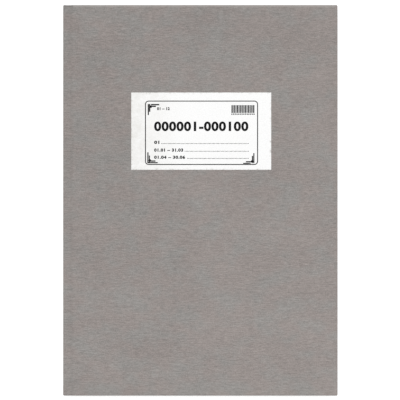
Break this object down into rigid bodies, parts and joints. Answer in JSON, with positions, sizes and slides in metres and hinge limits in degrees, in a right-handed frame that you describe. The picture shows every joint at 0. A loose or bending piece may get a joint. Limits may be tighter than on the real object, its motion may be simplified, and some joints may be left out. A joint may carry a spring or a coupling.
{
  "type": "cash book",
  "caption": "Hard-cover ledger in grey covering paper with a white label: sewn block in a flat-spine case, both covers hinged, end leaves turning with them.",
  "frame": {"origin": "under the middle of the closed book, on the surface that its back cover lies on", "axes": "+X from the spine to the fore edge, +Y to the head, +Z out of the front cover"},
  "size_m": [0.208, 0.296, 0.0153],
  "materials": {
    "grey_covering_paper": "matte",
    "greyboard": "matte",
    "page_paper": "matte",
    "endpaper": "matte",
    "label_paper": "satin",
    "printing_ink": "matte",
    "kraft_lining": "matte",
    "mull_cloth": "matte",
    "sewing_thread": "matte",
    "dried_glue": "satin"
  },
  "bodies": {
    "block": {"spine_cover_paper": "grey_covering_paper", "spine_board": "greyboard", "spine_lining": "kraft_lining", "mull": "mull_cloth", "spine_glue": "dried_glue", "sewing_thread_1": "sewing_thread", "sewing_thread_2": "sewing_thread", "sewing_thread_3": "sewing_thread", "sewing_thread_4": "sewing_thread", "sewing_thread_5": "sewing_thread", "section_01": "page_paper", "section_02": "page_paper", "section_03": "page_paper", "section_04": "page_paper", "section_05": "page_paper", "section_06": "page_paper", "section_07": "page_paper", "section_08": "page_paper", "section_09": "page_paper", "section_10": "page_paper", "front_endpaper_fold": "endpaper", "back_endpaper_fold": "endpaper"},
    "front_cover": {"front_board": "greyboard", "front_cover_paper": "grey_covering_paper", "front_pastedown": "endpaper", "cover_label": "label_paper"},
    "back_cover": {"back_board": "greyboard", "back_cover_paper": "grey_covering_paper", "back_pastedown": "endpaper"},
    "turning_front_flyleaf": {"front_flyleaf": "endpaper"},
    "turning_leaf_001": {"leaf_001": "page_paper"},
    "turning_leaf_002": {"leaf_002": "page_paper"},
    "turning_leaf_003": {"leaf_003": "page_paper"},
    "turning_leaf_004": {"leaf_004": "page_paper"},
    "turning_back_flyleaf": {"back_flyleaf": "endpaper"},
    "turning_leaf_100": {"leaf_100": "page_paper"},
    "turning_leaf_099": {"leaf_099": "page_paper"}
  },
  "joints": [
    {"name": "front_cover_hinge", "type": "hinge", "parent": "block", "child": "front_cover", "pos_m": [-0.10085, 0, 0.01285], "axis": [0, -1, 0], "range_deg": [0, 178]},
    {"name": "back_cover_hinge", "type": "hinge", "parent": "block", "child": "back_cover", "pos_m": [-0.10085, 0, 0.00228], "axis": [0, 1, 0], "range_deg": [0, 178]},
    {"name": "front_flyleaf_turn", "type": "hinge", "parent": "block", "child": "turning_front_flyleaf", "pos_m": [-0.09648, 0, 0.01272], "axis": [0, -1, 0], "range_deg": [0, 151.3]},
    {"name": "leaf_001_turn", "type": "hinge", "parent": "block", "child": "turning_leaf_001", "pos_m": [-0.09648, 0, 0.01272], "axis": [0, -1, 0], "range_deg": [0, 144.18]},
    {"name": "leaf_002_turn", "type": "hinge", "parent": "block", "child": "turning_leaf_002", "pos_m": [-0.09648, 0, 0.01272], "axis": [0, -1, 0], "range_deg": [0, 135.28]},
    {"name": "leaf_003_turn", "type": "hinge", "parent": "block", "child": "turning_leaf_003", "pos_m": [-0.09648, 0, 0.01272], "axis": [0, -1, 0], "range_deg": [0, 124.6]},
    {"name": "leaf_004_turn", "type": "hinge", "parent": "block", "child": "turning_leaf_004", "pos_m": [-0.09648, 0, 0.01272], "axis": [0, -1, 0], "range_deg": [0, 110.36]},
    {"name": "back_flyleaf_turn", "type": "hinge", "parent": "block", "child": "turning_back_flyleaf", "pos_m": [-0.09648, 0, 0.00241], "axis": [0, 1, 0], "range_deg": [0, 151.3]},
    {"name": "leaf_100_turn", "type": "hinge", "parent": "block", "child": "turning_leaf_100", "pos_m": [-0.09648, 0, 0.00241], "axis": [0, 1, 0], "range_deg": [0, 142.4]},
    {"name": "leaf_099_turn", "type": "hinge", "parent": "block", "child": "turning_leaf_099", "pos_m": [-0.09648, 0, 0.00241], "axis": [0, 1, 0], "range_deg": [0, 129.94]}
  ],
  "couplings": [
    {"joint": "front_flyleaf_turn", "follows": "front_cover_hinge", "ratio": 0.85},
    {"joint": "leaf_001_turn", "follows": "front_cover_hinge", "ratio": 0.81},
    {"joint": "leaf_002_turn", "follows": "front_cover_hinge", "ratio": 0.76},
    {"joint": "leaf_003_turn", "follows": "front_cover_hinge", "ratio": 0.7},
    {"joint": "leaf_004_turn", "follows": "front_cover_hinge", "ratio": 0.62},
    {"joint": "back_flyleaf_turn", "follows": "back_cover_hinge", "ratio": 0.85},
    {"joint": "leaf_100_turn", "follows": "back_cover_hinge", "ratio": 0.8},
    {"joint": "leaf_099_turn", "follows": "back_cover_hinge", "ratio": 0.73}
  ]
}
